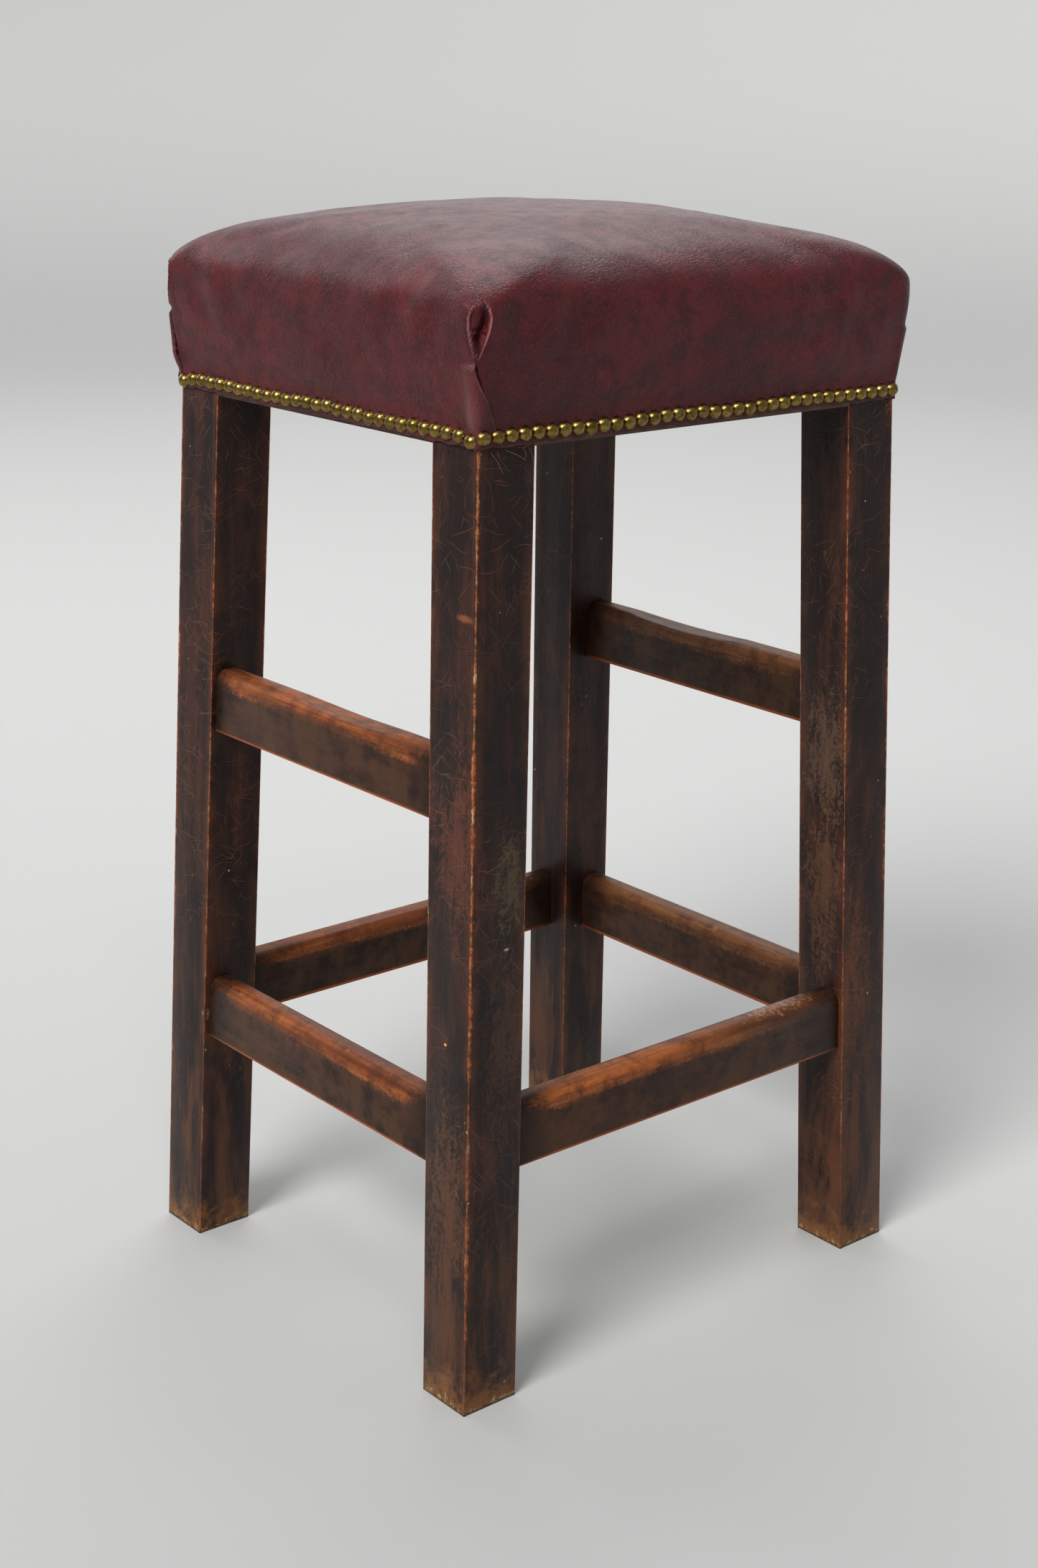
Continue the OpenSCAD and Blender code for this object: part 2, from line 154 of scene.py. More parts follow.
class Shader:
    """A material and the few node kinds it is built from."""

    def __init__(self, name):
        self.material = bpy.data.materials.new(name)
        self.material.use_nodes = True
        self.tree = self.material.node_tree
        self.tree.nodes.clear()
        self.bsdf = self.node("BsdfPrincipled")
        self.feed(self.node("OutputMaterial"), self.bsdf.outputs["BSDF"])
        self.place = self.node("TexCoord").outputs["Object"]
        self.normal = self.node("NewGeometry").outputs["Normal"]

    def node(self, kind, **settings):
        node = self.tree.nodes.new("ShaderNode" + kind)
        for name, value in settings.items():
            setattr(node, name, value)
        return node

    def feed(self, node, *values, **named):
        """Links or sets a node's inputs, by their order or by their names."""
        for key, value in [*enumerate(values), *named.items()]:
            socket = node.inputs[key if isinstance(key, int) else key.replace("_", " ")]
            if isinstance(value, bpy.types.NodeSocket):
                self.tree.links.new(value, socket)
            elif value is not None:
                socket.default_value = value
        return node

    def split(self, vector):
        return tuple(self.feed(self.node("SeparateXYZ"), vector).outputs)

    def join(self, x, y, z):
        return self.feed(self.node("CombineXYZ"), x, y, z).outputs[0]

    def calc(self, operation, *values):
        return self.feed(self.node("Math", operation=operation), *values).outputs[0]

    def add(self, a, b):
        return self.calc("ADD", a, b)

    def less(self, a, b):
        return self.calc("SUBTRACT", a, b)

    def times(self, a, b, plus=None):
        return self.calc("MULTIPLY_ADD", a, b, plus) if plus is not None else self.calc("MULTIPLY", a, b)

    def abs(self, a):
        return self.calc("ABSOLUTE", a)

    def scaled(self, scale, vector=None, turn=0, shift=(0, 0, 0)):
        """Coordinates turned about Z by an angle in degrees, scaled and shifted."""
        turned = (0, 0, math.radians(turn))
        return self.feed(self.node("Mapping"), vector or self.place, shift, turned, scale).outputs[0]

    def noise(self, scale, detail=3, rough=0.5, vector=None, distortion=0.0):
        return self.feed(self.node("TexNoise"), Vector=vector or self.place, Scale=scale, Detail=detail,
                         Roughness=rough, Distortion=distortion).outputs["Fac"]

    def cells(self, scale, feature="F1", vector=None, flat=False):
        node = self.node("TexVoronoi", feature=feature, voronoi_dimensions="2D" if flat else "3D")
        return self.feed(node, Vector=vector or self.place, Scale=scale).outputs["Distance"]

    def warp(self, scale, amount):
        """Object coordinates bent by noise, by up to about half the amount in metres."""
        node = self.feed(self.node("TexNoise"), Vector=self.place, Scale=scale, Detail=3)
        bend = self.node("VectorMath", operation="MULTIPLY_ADD")
        return self.feed(bend, node.outputs["Color"], (amount, amount, amount), self.place).outputs[0]

    def near(self, centre, radii, ragged):
        """1 inside an ellipsoid given in millimetres, 0 outside it, with a ragged edge."""
        scale = [1 / (r * MM) for r in radii]
        place = self.scaled(scale, shift=[-c * MM * k for c, k in zip(centre, scale)])
        node = self.feed(self.node("VectorMath", operation="LENGTH"), place)
        return self.step(self.add(node.outputs["Value"], ragged), 0.4, 1.1, 1.0, 0.0)

    def attribute(self, name):
        return self.node("Attribute", attribute_name=name).outputs["Fac"]

    def step(self, value, low, high, out_low=0.0, out_high=1.0):
        """Smooth change from out_low to out_high as value goes from low to high."""
        node = self.node("MapRange", interpolation_type="SMOOTHSTEP")
        return self.feed(node, value, low, high, out_low, out_high).outputs["Result"]

    def blend(self, factor, a, b):
        """Mixes two colours, each a node's output or three sRGB values."""
        a, b = (colour if isinstance(colour, bpy.types.NodeSocket) else rgb(*colour) for colour in (a, b))
        return self.feed(self.node("Mix", data_type="RGBA"), factor, *[None] * 5, a, b).outputs[2]

    def coat(self, amount, colour):
        """Lays a colour over what the surface has so far."""
        self.colour = self.blend(amount, self.colour, colour)

    def bump(self, height, strength, distance):
        return self.feed(self.node("Bump"), Height=height, Strength=strength, Distance=distance).outputs[0]

    def finish(self, rough, normal=None, **constants):
        self.feed(self.bsdf, Base_Color=self.colour, Roughness=rough, Normal=normal, **constants)
        return self.material


# ---- wood ----

DARK_STAIN = (30, 17, 14)
RED_RUB = (66, 35, 25)
BARE_ORANGE = (150, 74, 36)
PALE_CHIP = (200, 160, 112)
GRIME = (15, 10, 9)


# Scratches on the legs: angle from level in degrees, mean gap, width and length in metres
SCRATCHES = (
    (75, 0.0030, 0.00034, 0.026), (105, 0.0032, 0.00030, 0.020), (38, 0.0030, 0.00030, 0.014),
    (140, 0.0032, 0.00034, 0.016), (12, 0.0036, 0.00028, 0.011), (60, 0.0024, 0.00022, 0.008),
    (163, 0.0036, 0.00030, 0.009),
)


def stretched(axis, across, along):
    """Scales of a texture drawn out along one axis."""
    return [along if k == axis else across for k in range(3)]


def stained_wood(name, grain_axis):
    """Old dark stain, mottled, with its grain along one axis (0 X, 1 Y, 2 Z)."""
    s = Shader(name)
    stretch = stretched(grain_axis, 150.0, 7.0)
    grain = s.noise(1.0, 5, 0.65, s.scaled(stretch))
    pores = s.noise(1.0, 3, 0.6, s.scaled([4 * x for x in stretch]))
    patches = s.noise(1.0, 5, 0.68, s.scaled(stretched(grain_axis, 42.0, 9.0)), 0.4)
    cloud = s.noise(60, 5, 0.7)
    rub = s.times(s.step(patches, 0.42, 0.64), s.step(grain, 0.25, 0.7, 0.25, 1.0))
    s.colour = s.blend(rub, DARK_STAIN, RED_RUB)
    s.coat(s.step(cloud, 0.5, 0.68, 0, 0.75), GRIME)
    s.coat(s.step(pores, 0.56, 0.7, 0, 0.5), GRIME)
    return s, grain, pores, patches, cloud


def scratches(s, flat, angle, across, width, length, gate):
    """Short thin lines at one angle on the leg's faces, in metres, a mean gap across apart."""
    limit = width / (2 * across)
    place = s.scaled((1 / across, limit * 2 / length, 1), s.scaled((1, 1, 1), flat, angle))
    return s.times(s.step(s.cells(1.0, vector=place, flat=True), limit * 0.5, limit, 1.0, 0.0), gate)


# Marks on the legs: centre and radii in millimetres, colour, strength, and how broken up they are
LEG_MARKS = (
    ((-170, -141, 487), (8, 9.0, 2.8), (124, 70, 42), 0.85, 0.25),
    ((-169, -158, 462), (6, 7, 9.0), (112, 62, 42), 0.7, 0.8),
    ((-147, -156, 330), (14, 6, 38), (98, 84, 58), 0.42, 0.95),
    ((-174, -140, 352), (6, 28, 70), (112, 60, 40), 0.34, 1.15),
    ((134, -139, 350), (7, 23, 60), (108, 82, 64), 0.42, 0.95),
    ((137, -140, 262), (7, 22, 80), (96, 64, 42), 0.5, 0.9),
    ((150, -161, 210), (20, 6, 60), (104, 58, 32), 0.5, 1.0),
    ((-152, -158, 225), (20, 6, 80), (86, 54, 36), 0.4, 1.1),
    ((-181, -142, 120), (6, 22, 90), (100, 64, 38), 0.5, 1.0),
    ((-178, 123, 165), (3.5, 2.5, 6.5), (222, 208, 168), 0.95, 0.25),
    ((-178.6, -136.6, 231.8), (4, 1.6, 1.2), (222, 176, 70), 0.9, 0.2),
    ((-150, -158, 291), (2.0, 4, 1.0), (196, 188, 164), 0.7, 0.3),
)


def leg_material():
    s, grain, pores, patches, _ = stained_wood("stained_wood", 2)
    x, y, z = s.split(s.place)
    # distance in from the leg's outer faces, which lean with the height
    in_x = s.less(s.times(z, -LEAN_X, half_x(0) * MM), s.abs(x))
    in_y = s.less(s.times(z, -LEAN_Y, half_y(0) * MM), s.abs(y))
    da = s.calc("MINIMUM", in_x, s.less(LEG_T * MM, in_x))
    db = s.calc("MINIMUM", in_y, s.less(LEG_T * MM, in_y))
    arris = s.calc("MAXIMUM", da, db)
    ragged = s.noise(260, 5, 0.75)
    uneven = s.noise(24, 4, 0.65)
    # the outer corner, which hands and shoes meet, is worn widest
    outer = s.step(s.calc("MAXIMUM", in_x, in_y), 0.008, 0.016, 1.0, 0.35)
    width = s.times(s.step(uneven, 0.36, 0.7, 0.0002, 0.0015), s.step(ragged, 0.3, 0.7, 0.2, 1.7))
    worn = s.step(s.less(arris, s.times(width, outer)), -0.0002, 0.0006, 1.0, 0.0)
    soft_rub = s.times(s.step(arris, 0.0, 0.009, 0.65, 0.0), s.step(uneven, 0.38, 0.65))
    s.coat(soft_rub, (86, 46, 30))
    smear = s.noise(1.0, 5, 0.75, s.scaled((110, 110, 46)), 0.8)
    speckle = s.times(s.less(s.noise(420, 4, 0.75), 0.42), 3.0)
    rubbed = s.times(s.less(smear, 0.5), 3.2, speckle)
    for centre, radii, shade, strength, broken in LEG_MARKS:
        mark = s.near(centre, radii, s.times(rubbed, broken))
        s.coat(s.times(mark, strength), shade)
    s.coat(s.step(pores, 0.55, 0.7, 0, 0.4), GRIME)
    # level distance and height on the leg's faces, bent a little by noise
    curl = s.times(s.less(s.noise(25, 2, 0.5), 0.5), 0.02)
    flat = s.join(s.add(s.add(x, y), curl), s.less(z, curl), 0.0)
    here = s.step(s.noise(11, 2, 0.5), 0.42, 0.6, 0.12, 1.0)
    here = s.calc("MAXIMUM", here, s.near((-175, -135, 390), (14, 34, 95), s.times(rubbed, 0.1)))
    marks = 0.0
    for angle, across, width, length in SCRATCHES:
        marks = s.calc("MAXIMUM", marks, scratches(s, flat, angle, across, width, length, here))
    s.coat(s.times(marks, 0.7), (122, 76, 54))
    edge_colour = s.blend(s.step(ragged, 0.38, 0.62), (104, 54, 30), (166, 94, 48))
    edge_colour = s.blend(s.step(s.noise(90, 4, 0.7), 0.56, 0.68, 0, 0.7), edge_colour, PALE_CHIP)
    s.coat(s.times(worn, s.step(z, 0.15, 0.32, 0.6, 0.92)), edge_colour)
    fleck = s.times(s.step(s.cells(130), 0.06, 0.13, 1.0, 0.0), s.step(s.noise(70, 2, 0.5), 0.63, 0.68))
    s.coat(s.times(fleck, 0.8), PALE_CHIP)
    # feet: browner toward the floor, scuffed to ochre, with pale flecks and a darker lowest edge
    kicked = s.times(s.step(z, 0.03, 0.26, 0.75, 0.0), s.step(patches, 0.4, 0.62))
    s.coat(kicked, (84, 50, 28))
    scuff = s.times(s.less(s.noise(90, 5, 0.75), 0.5), 0.09, z)
    s.coat(s.step(scuff, -0.004, 0.026, 0.75, 0.0), (124, 80, 40))
    chip = s.times(s.less(ragged, 0.5), 0.034, z)
    s.coat(s.step(chip, 0.0, 0.003, 0.7, 0.0), (180, 146, 96))
    s.coat(s.step(z, 0.0008, 0.003, 0.8, 0.0), (40, 28, 20))
    rough = s.step(s.add(grain, s.times(worn, 0.5)), 0.2, 1.1, 0.36, 0.62)
    height = s.times(grain, 0.6, s.times(pores, 0.4))
    height = s.less(height, s.times(marks, 0.8))
    return s.finish(rough, s.bump(height, 0.5, 0.0006), Specular_IOR_Level=0.22)


def rail_material(name, axis, level):
    """Rail wood: stain rubbed off the top and down the sides, grime near the joints, and the bare wood
    painted bright on the left and dark on the right, as painted light and shade.
    """
    s, grain, pores, patches, cloud = stained_wood(name, axis)
    place = s.split(s.place)
    along, z = place[axis], place[2]
    normal_z = s.split(s.normal)[2]
    ragged = s.noise(150, 6, 0.75)
    fibres = s.times(s.less(grain, 0.5), 1.2, s.less(ragged, 0.5))
    # 0 where the rubbed stretch ends, 1 at the rail's top edge
    low, high = level
    drop = s.step(z, low * MM, high * MM, 0.0, 1.0)
    end = FRAME_Y if axis else FRAME_X
    joint = s.step(s.abs(along), (end - LEG_T - 22) * MM, (end - LEG_T + 8) * MM)
    edge = s.times(fibres, 0.55, drop)
    edge = s.times(s.less(patches, 0.5), 0.5, edge)
    edge = s.times(joint, -0.45, edge)
    edge = s.times(s.less(s.noise(520, 3, 0.7), 0.5), 0.8, edge)
    worn = s.step(edge, 0.38, 0.82)
    stain = s.step(s.noise(48, 5, 0.72), 0.36, 0.6, 0.1, 0.8)
    s.coat(stain, (70, 45, 28))
    # painted light and shade: the bare wood is bright orange on the left, where the key light falls, and a
    # darker olive brown on the right, in shade
    shade = s.step(place[0], -0.04, 0.12, 0.0, 0.8)
    bare_lit_left_shaded_right = s.blend(shade, (162, 90, 44), (118, 80, 48))
    bare = s.blend(s.step(grain, 0.3, 0.65), s.blend(shade, (96, 46, 22), (66, 42, 25)), bare_lit_left_shaded_right)
    bare = s.blend(s.step(cloud, 0.42, 0.66, 0.0, 0.75), bare, (74, 37, 20))
    bare = s.blend(s.step(pores, 0.5, 0.66, 0.0, 0.6), bare, (58, 28, 15))
    s.coat(s.times(worn, 0.95), bare)
    top = s.step(normal_z, 0.55, 0.95)
    scuffs = s.times(s.step(s.noise(190, 5, 0.8), 0.58, 0.7), s.times(worn, top))
    s.coat(s.times(scuffs, 0.5), (186, 128, 88))
    if axis == 0:
        fine = s.less(s.noise(260, 4, 0.8), 0.46)
        heel = s.near((88, -146, 188), (34, 9, 5), s.times(fine, 5.0))
        s.coat(s.times(heel, 0.5), (172, 134, 110))
    lip = (high - RAIL_H) * MM
    bottom = s.step(s.less(z, s.times(ragged, 0.002)), lip, lip + 0.0012, 0.8, 0.0)
    s.coat(s.times(bottom, s.step(normal_z, -0.9, -0.5)), BARE_ORANGE)
    s.coat(s.times(joint, 0.6), GRIME)
    rough = s.step(grain, 0.2, 0.8, 0.34, 0.56)
    height = s.times(grain, 0.6, s.times(pores, 0.4))
    return s.finish(rough, s.bump(height, 0.6, 0.0008), Specular_IOR_Level=0.2)


def bare_wood_material(name, axis):
    s = Shader(name)
    stretch = stretched(axis, 90.0, 5.0)
    grain = s.noise(1.0, 5, 0.6, s.scaled(stretch))
    rings = s.noise(1.0, 2, 0.5, s.scaled([x * 0.35 for x in stretch]), 1.5)
    s.colour = s.blend(s.step(rings, 0.3, 0.7), (150, 102, 62), (186, 138, 90))
    s.coat(s.step(grain, 0.35, 0.75, 0, 0.6), (112, 72, 44))
    # darker along the lowest few millimetres and on the underside
    darker_lower_edges = s.step(s.split(s.place)[2], (HEM_Z + 0.5) * MM, (HEM_Z + 3) * MM, 0.85, 0.0)
    s.coat(darker_lower_edges, (44, 25, 19))
    return s.finish(s.step(grain, 0.2, 0.8, 0.55, 0.8), s.bump(grain, 0.4, 0.0006))


# ---- metal ----

def brass_material():
    s = Shader("aged_brass")
    tarnish = s.noise(420, 4, 0.65)
    patch = s.noise(90, 3, 0.6)
    s.colour = s.blend(s.step(tarnish, 0.35, 0.75), (148, 122, 66), (84, 70, 34))
    s.coat(s.step(patch, 0.45, 0.7, 0, 0.6), (76, 62, 24))
    rough = s.step(tarnish, 0.3, 0.7, 0.17, 0.34)
    return s.finish(rough, s.bump(tarnish, 0.2, 0.0002), Metallic=1.0)


def steel_material(name, dark):
    s = Shader(name)
    rust = s.noise(300, 4, 0.7)
    s.colour = s.blend(s.step(rust, 0.45, 0.7), dark, (104, 66, 44))
    return s.finish(s.step(rust, 0.4, 0.7, 0.35, 0.7), s.bump(rust, 0.3, 0.0002), Metallic=0.9)


# ---- cloth and fibre ----

def weave_material(name, thread, dark, pitch, along_x, stripe=None, repeat=None):
    """Plain weave: crossed threads at the pitch given in metres."""
    s = Shader(name)
    x, y, _ = s.split(s.place)
    wobble = s.times(s.less(s.noise(160, 2, 0.5), 0.5), pitch * 0.9)
    across, along = (s.calc("SINE", s.times(s.add(place, wobble), math.pi / pitch)) for place in (x, y))
    turn = s.step(s.times(s.calc("SIGN", across), s.calc("SIGN", along)), -0.5, 0.5)
    height = s.add(s.times(s.abs(across), turn), s.times(s.abs(along), s.less(1.0, turn)))
    shade = s.noise(35, 3, 0.6)
    # darker in the grooves between the threads: painted shade
    s.colour = s.blend(s.step(height, 0.1, 0.7), dark, thread)
    s.coat(s.step(shade, 0.4, 0.8, 0, 0.4), dark)
    if stripe:
        offset, colour_stripe = stripe
        side = s.calc("PINGPONG", s.add(y if along_x else x, 5 * repeat), repeat / 2)
        band = s.step(s.abs(s.less(side, offset)), 0.0015, 0.0025, 0.8, 0.0)
        s.coat(band, colour_stripe)
    fuzz = s.noise(1400, 2, 0.6)
    normal = s.bump(s.times(fuzz, 0.3, height), 0.8, 0.0006)
    return s.finish(0.92, normal, Specular_IOR_Level=0.2)


def fibre_material(name, light, dark, scale):
    s = Shader(name)
    strands = s.noise(scale, 5, 0.75, None, 2.5)
    lumps = s.noise(scale * 0.15, 3, 0.6)
    s.colour = s.blend(s.step(strands, 0.35, 0.65), dark, light)
    s.coat(s.step(lumps, 0.4, 0.8, 0, 0.4), dark)
    return s.finish(0.95, s.bump(strands, 0.8, 0.0015), Specular_IOR_Level=0.15)


# ---- leather ----

def leather_material():
    """Oxblood hide: pebbled grain, a net of stretch wrinkles, blotches, lighter fold rims that are part wear
    and part painted highlight, and painted shade in creases and hollows.
    """
    s = Shader("oxblood_leather")
    side = s.step(s.abs(s.split(s.normal)[2]), 0.25, 0.6, 1.0, 0.0)
    bent = s.warp(120, 0.004)
    pebble = s.cells(820, "DISTANCE_TO_EDGE", s.warp(300, 0.0012))
    upright = s.cells(1.0, "DISTANCE_TO_EDGE", s.scaled((430, 430, 210), bent))
    level = s.cells(1.0, "DISTANCE_TO_EDGE", s.scaled((240, 400, 430), bent, turn=38))
    net = s.times(s.less(upright, level), side, level)
    net_gate = s.step(s.noise(34, 4, 0.65), 0.36, 0.6, 0.15, 1.0)
    wrinkle = s.times(s.step(net, 0.0, 0.2, 1.0, 0.0), net_gate)
    crack = s.step(pebble, 0.0, 0.15, 1.0, 0.0)
    mottled = s.noise(16, 5, 0.65)
    blotch = s.noise(75, 5, 0.7)
    speckle = s.noise(900, 3, 0.7)
    s.colour = s.blend(s.step(mottled, 0.35, 0.68), (85, 20, 26), (63, 14, 20))
    s.coat(s.step(blotch, 0.42, 0.64, 0, 0.8), (48, 14, 19))
    s.coat(s.step(speckle, 0.45, 0.7, 0, 0.45), (116, 48, 50))
    # painted shade in the grain's creases and along the wrinkles
    s.coat(s.times(crack, 0.2), (36, 11, 14))
    s.coat(s.times(wrinkle, 0.34), (34, 10, 13))
    # lighter rims and ridges of the corner folds: painted highlight, partly wear
    s.coat(s.attribute("rim"), (164, 104, 106))
    # painted shade in the corner folds' hollows and cracks
    s.coat(s.attribute("pit"), (26, 10, 13))
    rough = s.step(s.add(blotch, s.times(crack, 0.3)), 0.35, 0.95, 0.33, 0.5)
    soft = s.noise(210, 4, 0.6)
    height = s.times(crack, -0.25, s.times(soft, 0.9))
    height = s.times(wrinkle, -0.6, height)
    return s.finish(rough, s.bump(height, 0.45, 0.0006), Specular_IOR_Level=0.24)


# ---- the seat's surface ----

# How far each corner's folded leather laps past the corner at the hem. The sides are counted
# right, rear, left, front, and corner k follows side k
PLEAT_REACH = (8.0, 4.0, 18.5, 9.0)
PLEAT_PLACE = (0.0, 0.0, 0.0, 10.0)     # how far past the corner each fold stands
PLEAT_SPLIT = 628.0     # height at which the lapped fold opens
PLEAT_TOP = 659.0       # top of the teardrop opening
PLEAT_HALF = 5.6        # half its width


def along_side(length, fine, coarse, near, far):
    """Fractions along a side, close together near its ends."""
    d = np.linspace(0, length, 4001)
    from_end = np.minimum(d, length - d)
    spacing = mix(fine, coarse, smooth((from_end - near) / (far - near)))
    count = np.concatenate([[0], np.cumsum(np.diff(d) / spacing[1:])])
    steps = int(round(count[-1]))
    return np.interp(np.arange(steps) / steps * count[-1], count, d) / length


def side_lengths(hx, hy, r):
    bend = math.pi * r / 2
    return [2 * (hy - r) + bend, 2 * (hx - r) + bend] * 2


class Grid:
    """Where the points of every ring stand: side, fraction along it."""

    def __init__(self, fine, coarse, near=22, far=52):
        lengths = side_lengths(WIDEST_X, WIDEST_Y, CORNER_R)
        per_side = [along_side(length, fine, coarse, near, far) for length in lengths]
        self.side = np.concatenate([[k] * len(f) for k, f in enumerate(per_side)])
        self.fraction = np.concatenate(per_side)
        self.count = len(self.side)

    def ring(self, hx, hy, r):
        """Points and distances from the nearest corner, for one ring with rounded corners."""
        lengths = np.array(side_lengths(hx, hy, r))[self.side]
        d = self.fraction * lengths
        out = np.where(self.side % 2 == 0, hx, hy)
        half = np.where(self.side % 2 == 0, hy, hx)
        quarter = math.pi * r / 4
        first = d < quarter
        last = d > lengths - quarter
        angle = np.where(first, -math.pi / 4 + d / r, np.where(last, math.pi / 4 - (lengths - d) / r, 0))
        centre = np.where(first, -(half - r), np.where(last, half - r, d - quarter - (half - r)))
        px = out - r + r * np.cos(angle)
        py = centre + r * np.sin(angle)
        turn = self.side * (math.pi / 2)
        c, sn = np.cos(turn), np.sin(turn)
        signed = np.where(self.fraction < 0.5, d, d - lengths)
        return np.column_stack([px * c - py * sn, px * sn + py * c]), signed

    def corner(self):
        """The corner that each point is nearest to."""
        return np.where(self.fraction < 0.5, (self.side + 3) % 4, self.side)


def crown(u, v, s):
    # fuller toward the corners than along the middles of the sides
    toward = smooth(2 * np.minimum(u * v, s ** 2) / max(s ** 2, 1e-9) - 1)
    rise = np.sqrt(np.maximum(0, 1 - s ** mix(CROWN_POWER, CORNER_POWER, toward)))
    fall = np.sqrt(1 - np.minimum(u * v, 1) ** (CROWN_POWER / 2))
    return rise * (1 - CORNER_FALL + CORNER_FALL * fall)


def flank_sizes(z, depth):
    if z <= BAND_Z:
        return half_x(z) + HUG - depth, half_y(z) + HUG - depth, max(HEM_R - depth, 0.1)
    t = (z - BAND_Z) / (WIDEST_Z - BAND_Z)
    swell = math.sin(math.pi / 2 * t)
    return (mix(half_x(z) + HUG, WIDEST_X, swell) - depth,
            mix(half_y(z) + HUG, WIDEST_Y, swell) - depth,
            max(mix(HEM_R, CORNER_R, t) - depth, 0.1))


def seat_surface(grid, levels, domes, depth=0.0):
    """Rings of points from the hem up and over the crown: arrays of points and corner distances."""
    points, signed = [], []
    for z in levels:
        xy, d = grid.ring(*flank_sizes(z, depth))
        points.append(np.column_stack([xy, np.full(grid.count, z)]))
        signed.append(d)
    hx, hy = WIDEST_X - depth, WIDEST_Y - depth
    for s in domes:
        r = mix(hy, CORNER_R - depth, s ** RING_POWER) * s
        xy, d = grid.ring(hx * s, hy * s, r)
        z = WIDEST_Z + (CROWN_H - depth) * crown(abs(xy[:, 0]) / hx, abs(xy[:, 1]) / hy, s)
        points.append(np.column_stack([xy, z]))
        signed.append(d)
    return np.array(points), np.array(signed)


def surface_frame(points):
    """Unit vectors round the rings and outward, at every grid point."""
    around = unit(np.roll(points, -1, axis=1) - np.roll(points, 1, axis=1))
    return around, unit(np.cross(around, np.gradient(points, axis=0)))


def pleats(points, signed, corner):
    """Height out of the surface, shift along it, and the rim and pit masks of the corner folds: rim a
    painted highlight with some wear, pit a painted shade.
    """
    z = points[..., 2]
    reach = np.array(PLEAT_REACH)[corner][None, :] * np.ones_like(z)
    d = signed - np.array(PLEAT_PLACE)[corner][None, :]
    # lapped fold below the split, pressed thin where the nails hold it
    down = np.clip((PLEAT_SPLIT - z) / (PLEAT_SPLIT - COVER_Z), 0, 1)
    edge = mix(-0.8, reach, down ** 1.4)
    low = smooth((PLEAT_SPLIT + 3 - z) / 6)
    pressed = mix(0.22, 1.0, smooth((z - 590) / 14))
    lap = 2.9 * smooth(down / 0.12 + 0.4) * pressed
    behind = np.clip(edge - d, 0, None)
    nose = np.clip(behind / 1.5, 0, 1)
    body = lap * np.exp(-(behind / 12) ** 2) * np.sqrt(nose * (2 - nose))
    ahead = np.clip(d - edge, 0, None)
    height = np.where(d < edge, body, -1.0 * pressed * np.exp(-ahead / 2.6)) * low
    shift = -1.7 * pressed * np.exp(-((d - edge - 0.9) / 0.9) ** 2) * low
    # painted shade along the crack in front of the fold's edge
    crack = np.exp(-((d - edge - 0.5) / 0.9) ** 2) * low * 0.9 * mix(0.5, 1.0, pressed)
    # painted highlight along the lapped fold's edge
    rim = 0.35 * np.exp(-((d - edge + 0.9) / 0.4) ** 2) * low * smooth(down / 0.3)
    # teardrop above it
    t = np.clip((z - PLEAT_SPLIT) / (PLEAT_TOP - PLEAT_SPLIT), 0, 1)
    half = PLEAT_HALF / 0.571 * t * np.sqrt(1 - t ** 3) + 0.15
    middle = mix(-0.8, 1.2, t)
    u = (d - middle) / half
    inside = smooth((1 - abs(u)) / 0.2) * (t > 0) * (t < 1)
    lean = mix(-0.68, 0.74, smooth((t - 0.38) / 0.3))
    wide = np.where((u - lean) * np.sign(lean) > 0, 0.24, 0.85)
    hollow = np.exp(-((u - lean) / wide) ** 2)
    deep = 6.5 * np.sin(math.pi * np.clip(t, 0, 1)) ** 0.6
    height = height - inside * (0.22 + 0.78 * hollow) * deep
    gap = abs(abs(u) - 1) * half
    along = smooth((t - 0.02) / 0.1) * smooth((1 - t) / 0.06)
    height = height + 0.8 * np.exp(-(gap / 0.65) ** 2) * along * (abs(u) > 0.8)
    # painted highlight along the teardrop's rim
    rim = rim + 0.8 * np.exp(-(gap / 0.3) ** 2) * along * mix(0.4, 1.0, smooth((z - 632) / 14))
    # the hide bulges a little round the opening
    height = height + 0.7 * np.exp(-(((abs(d - middle) - half) / 5) ** 2)) * along * (abs(u) > 1)
    # and the folded hide stands out in a soft ridge just above the nails
    ridge = np.exp(-((d + 3.5) / 5.5) ** 2) * np.exp(-((z - 599) / 12) ** 2)
    height = height + 1.3 * ridge * smooth((z - 588) / 8)
    # painted highlight: the rim mask gets the ridge, and the band called rubbed along the corner's edge
    # below the opening
    rubbed = np.exp(-((d + 4) / 4) ** 2) * smooth((640 - z) / 20) * smooth((z - 588) / 8)
    rim = rim + 0.16 * ridge + 0.1 * rubbed
    # pit is painted shade in the opening's hollow and in the fold's crack
    pit = np.clip(inside * hollow ** 2 * 0.55 + crack, 0, 1)
    # how far the layers underneath give way to the opening
    sunk = 7.2 * np.exp(-(abs(d - middle) / (PLEAT_HALF + 4)) ** 4) * np.exp(-(abs(z - 644) / 20) ** 4)
    return height, shift, np.clip(rim, 0, 1), pit, sunk


def seat_tilt(points):
    """The stuffing stands a little higher at the rear left than at the front right."""
    lift = smooth((points[..., 2] - 600) / 60)
    slope = (points[..., 1] / WIDEST_Y - points[..., 0] / WIDEST_X) / 2
    return 2.0 * slope * lift


